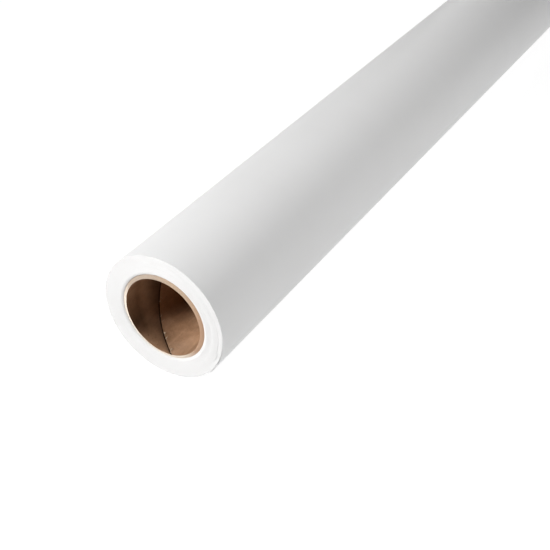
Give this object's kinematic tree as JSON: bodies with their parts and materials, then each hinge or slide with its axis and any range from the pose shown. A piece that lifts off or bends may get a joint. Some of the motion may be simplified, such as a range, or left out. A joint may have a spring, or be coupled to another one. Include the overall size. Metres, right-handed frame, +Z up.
{
  "type": "roll of sign vinyl",
  "caption": "Roll of white self-adhesive sign vinyl on its release liner, wound on an open spiral board core, with a free edge that lifts, unrolls and peels.",
  "frame": {"origin": "the middle of the core's bore, on the roll's axis halfway along its length", "axes": "+X along the roll's axis, +Z up, with the loose tail on the -Y side"},
  "size_m": [1.22, 0.1211, 0.1205],
  "materials": {
    "face_film": "satin",
    "wound_vinyl": "matte",
    "release_liner": "satin",
    "core_board": "matte",
    "core_board_inside": "matte",
    "paper_tape": "matte"
  },
  "bodies": {
    "roll": {"core_inner_ply": "core_board", "core_body_ply_1": "core_board_inside", "core_body_ply_2": "core_board_inside", "core_body_ply_3": "core_board_inside", "core_body_ply_4": "core_board_inside", "core_body_ply_5": "core_board_inside", "core_outer_ply": "core_board", "start_tape": "paper_tape", "wound_web": "wound_vinyl", "outer_turn_liner": "release_liner", "outer_turn_film": "face_film"},
    "tail_near": {"tail_liner_1": "release_liner", "tail_film_1": "face_film"},
    "tail_middle": {"tail_liner_2": "release_liner", "tail_film_2": "face_film"},
    "tail_far": {"tail_liner_3": "release_liner", "tail_film_3": "face_film", "edge_liner": "release_liner"},
    "film_edge": {"edge_film": "face_film"}
  },
  "joints": [
    {"name": "tail_lift", "type": "hinge", "parent": "roll", "child": "tail_near", "pos_m": [0, -0.06021, 0.00846], "axis": [-1, 0, 0], "range_deg": [0, 20], "stiffness_Nm_per_rad": 0.05},
    {"name": "tail_unroll_1", "type": "hinge", "parent": "tail_near", "child": "tail_middle", "pos_m": [0, -0.06067, -0.00487], "axis": [-1, 0, 0], "range_deg": [0, 20], "stiffness_Nm_per_rad": 0.05},
    {"name": "tail_unroll_2", "type": "hinge", "parent": "tail_middle", "child": "tail_far", "pos_m": [0, -0.05836, -0.018], "axis": [-1, 0, 0], "range_deg": [0, 20], "stiffness_Nm_per_rad": 0.05},
    {"name": "film_peel", "type": "hinge", "parent": "tail_far", "child": "film_edge", "pos_m": [0, -0.05336, -0.03037], "axis": [-1, 0, 0], "range_deg": [0, 100], "stiffness_Nm_per_rad": 0.01}
  ],
  "couplings": [
    {"joint": "tail_unroll_1", "follows": "tail_lift", "ratio": 1},
    {"joint": "tail_unroll_2", "follows": "tail_lift", "ratio": 1}
  ]
}
